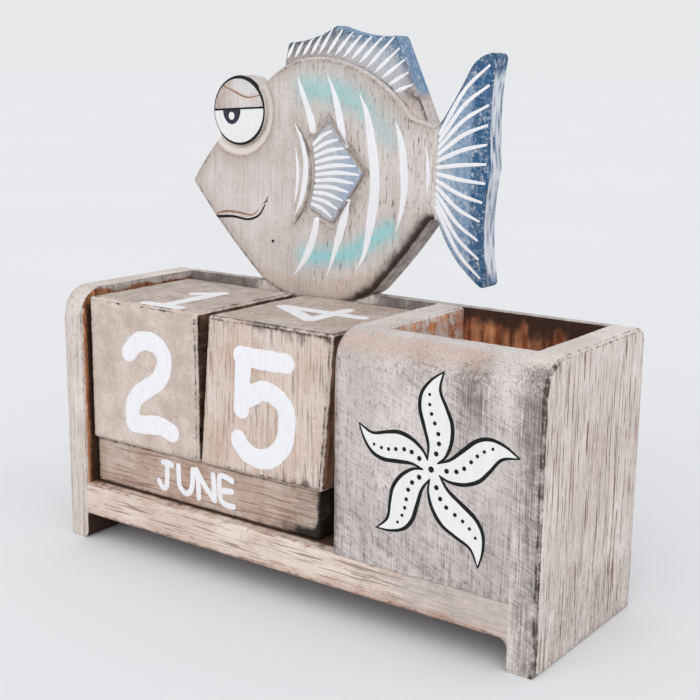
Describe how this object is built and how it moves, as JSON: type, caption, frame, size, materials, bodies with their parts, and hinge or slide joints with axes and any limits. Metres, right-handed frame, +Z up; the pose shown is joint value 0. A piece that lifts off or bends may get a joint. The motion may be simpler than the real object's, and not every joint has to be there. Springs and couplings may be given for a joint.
{
  "type": "desk calendar with pencil box",
  "caption": "Wooden perpetual desk calendar: a tray with loose date cubes on month bars, an open pencil well, and a carved fish standing on the back panel.",
  "frame": {"origin": "middle of the tray's footprint, on the surface it stands on", "axes": "+X along the tray towards the pencil well, +Y towards the back panel, +Z up"},
  "size_m": [0.2, 0.067, 0.1904],
  "materials": {
    "tray_wood": "whitewashed and rubbed back",
    "fish_wood": "whitewashed, painted blue and white",
    "cube_wood": "whitewashed, with painted numbers",
    "bar_wood": "stained, with painted month names",
    "dowel_wood": "plain",
    "brad_steel": "drawn wire"
  },
  "bodies": {
    "carcass": {"left_end_panel": "tray_wood", "right_end_panel": "tray_wood", "base_board": "tray_wood", "back_panel": "tray_wood", "partition": "tray_wood", "box_front": "tray_wood", "fish": "fish_wood", "fish_dowels": "dowel_wood", "carcass_brads": "brad_steel"},
    "tens_cube": {"tens_cube": "cube_wood"},
    "units_cube": {"units_cube": "cube_wood"},
    "rear_bar": {"month_bar_rear": "bar_wood"},
    "middle_bar": {"month_bar_middle": "bar_wood"},
    "front_bar": {"month_bar_front": "bar_wood"}
  },
  "joints": [
    {"name": "tens_lift", "type": "slide", "parent": "carcass", "child": "tens_cube", "axis": [0, 0, 1], "range_m": [0, 0.06]},
    {"name": "units_lift", "type": "slide", "parent": "carcass", "child": "units_cube", "axis": [0, 0, 1], "range_m": [0, 0.06]},
    {"name": "rear_bar_pull", "type": "slide", "parent": "carcass", "child": "rear_bar", "axis": [0, -1, 0], "range_m": [0, 0.061]},
    {"name": "middle_bar_pull", "type": "slide", "parent": "rear_bar", "child": "middle_bar", "axis": [0, -1, 0], "range_m": [0, 0.043]},
    {"name": "front_bar_pull", "type": "slide", "parent": "middle_bar", "child": "front_bar", "axis": [0, -1, 0], "range_m": [0, 0.026]}
  ]
}
